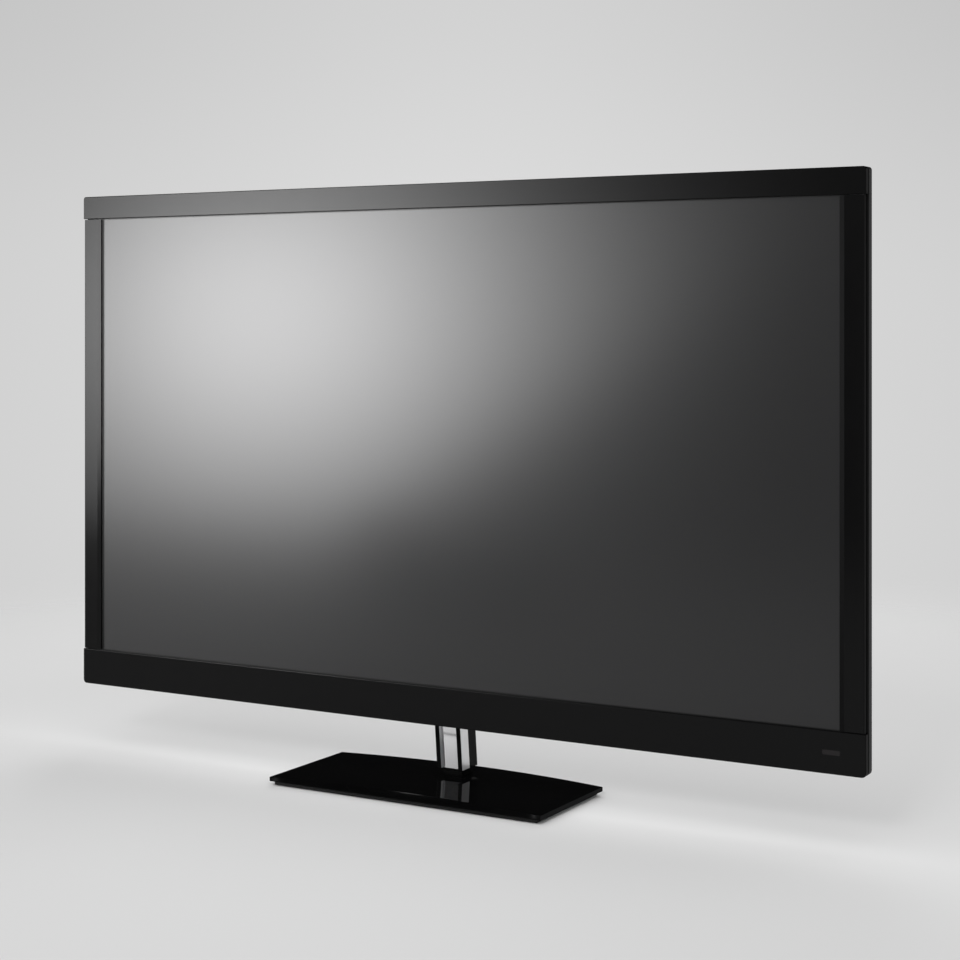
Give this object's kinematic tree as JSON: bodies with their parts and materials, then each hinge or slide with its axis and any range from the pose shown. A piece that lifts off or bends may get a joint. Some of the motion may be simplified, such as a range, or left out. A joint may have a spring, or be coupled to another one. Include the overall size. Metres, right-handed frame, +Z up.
{
  "type": "flat screen tv",
  "caption": "Slim flat screen television with a gloss dark frame on a leaning metal and clear neck that swivels on a flat gloss base.",
  "frame": {"origin": "on the floor, at the middle of the base", "axes": "+X along the screen, to the viewer's right; -Y from the screen to the viewer; +Z up"},
  "size_m": [1.2862, 0.2088, 0.8657],
  "materials": {
    "frame_gloss": "high gloss",
    "panel_glass": "satin, dark when off",
    "lens_smoke": "smoked, infrared clear",
    "carrier_plastic": "moulded, fine grain",
    "cover_plastic": "moulded, fine grain",
    "key_plastic": "moulded",
    "gasket_foam": "soft foam",
    "sheet_film": "translucent white",
    "guide_acrylic": "clear acrylic",
    "lamp_board": "white board with lamps",
    "spreader_metal": "extruded",
    "zinc_steel": "zinc plated sheet",
    "circuit_green": "lacquered circuit board",
    "ribbon_film": "flat cable",
    "socket_metal": "pressed shells",
    "socket_plastic": "moulded",
    "driver_paper": "coated cone",
    "screw_steel": "plated",
    "core_metal": "satin brushed",
    "fin_clear": "smoked clear acrylic",
    "shroud_plastic": "high gloss",
    "bracket_steel": "black powder coat",
    "bush_plastic": "acetal",
    "base_gloss": "mirror gloss black",
    "under_steel": "black paint",
    "foot_rubber": "matte"
  },
  "bodies": {
    "stand_base": {"base_plate": "base_gloss", "under_plate": "under_steel", "bond_tape": "gasket_foam", "base_feet": "foot_rubber", "foot_collar": "bracket_steel", "bearing_bush": "bush_plastic", "swivel_washers": "bush_plastic", "collar_screws": "screw_steel"},
    "display": {"top_bar": "frame_gloss", "bottom_bar": "frame_gloss", "left_pillar": "frame_gloss", "right_pillar": "frame_gloss", "display_glass": "panel_glass", "ir_window": "lens_smoke", "inner_frame": "carrier_plastic", "speaker_boxes": "carrier_plastic", "power_inlet": "carrier_plastic", "rear_cover": "cover_plastic", "vent_grilles": "cover_plastic", "speaker_grilles": "cover_plastic", "side_jack_tray": "cover_plastic", "lower_jack_tray": "cover_plastic", "power_tray": "cover_plastic", "bracket_cover": "cover_plastic", "panel_gasket": "gasket_foam", "optical_sheets": "sheet_film", "reflector_sheet": "sheet_film", "light_guide": "guide_acrylic", "led_strips": "lamp_board", "heat_spreaders": "spreader_metal", "chassis": "zinc_steel", "stand_receiver": "zinc_steel", "vesa_inserts": "zinc_steel", "main_board": "circuit_green", "power_board": "circuit_green", "timing_board": "circuit_green", "source_boards": "circuit_green", "key_board": "circuit_green", "ir_board": "circuit_green", "ribbon_cables": "ribbon_film", "side_sockets": "socket_metal", "lan_socket": "socket_plastic", "lower_sockets": "socket_plastic", "speaker_drivers": "driver_paper", "cover_screws": "screw_steel", "board_screws": "screw_steel", "neck_screws": "screw_steel", "neck_core": "core_metal", "neck_fins": "fin_clear", "neck_shroud": "shroud_plastic", "neck_bracket": "bracket_steel", "swivel_shaft": "bracket_steel", "swivel_retainer": "bracket_steel"},
    "power_key": {"power_key": "key_plastic"},
    "input_key": {"input_key": "key_plastic"},
    "menu_key": {"menu_key": "key_plastic"},
    "channel_up_key": {"channel_up_key": "key_plastic"},
    "channel_down_key": {"channel_down_key": "key_plastic"},
    "volume_up_key": {"volume_up_key": "key_plastic"},
    "volume_down_key": {"volume_down_key": "key_plastic"}
  },
  "joints": [
    {"name": "swivel", "type": "hinge", "parent": "stand_base", "child": "display", "pos_m": [0, 0.0546, 0.0166], "axis": [0, 0, 1], "range_deg": [-20, 20]},
    {"name": "power_key_press", "type": "slide", "parent": "display", "child": "power_key", "axis": [0, -1, 0], "range_m": [0, 0.0012], "stiffness_N_per_m": 600, "springref_m": -0.0015},
    {"name": "input_key_press", "type": "slide", "parent": "display", "child": "input_key", "axis": [0, -1, 0], "range_m": [0, 0.0012], "stiffness_N_per_m": 600, "springref_m": -0.0015},
    {"name": "menu_key_press", "type": "slide", "parent": "display", "child": "menu_key", "axis": [0, -1, 0], "range_m": [0, 0.0012], "stiffness_N_per_m": 600, "springref_m": -0.0015},
    {"name": "channel_up_key_press", "type": "slide", "parent": "display", "child": "channel_up_key", "axis": [0, -1, 0], "range_m": [0, 0.0012], "stiffness_N_per_m": 600, "springref_m": -0.0015},
    {"name": "channel_down_key_press", "type": "slide", "parent": "display", "child": "channel_down_key", "axis": [0, -1, 0], "range_m": [0, 0.0012], "stiffness_N_per_m": 600, "springref_m": -0.0015},
    {"name": "volume_up_key_press", "type": "slide", "parent": "display", "child": "volume_up_key", "axis": [0, -1, 0], "range_m": [0, 0.0012], "stiffness_N_per_m": 600, "springref_m": -0.0015},
    {"name": "volume_down_key_press", "type": "slide", "parent": "display", "child": "volume_down_key", "axis": [0, -1, 0], "range_m": [0, 0.0012], "stiffness_N_per_m": 600, "springref_m": -0.0015}
  ]
}
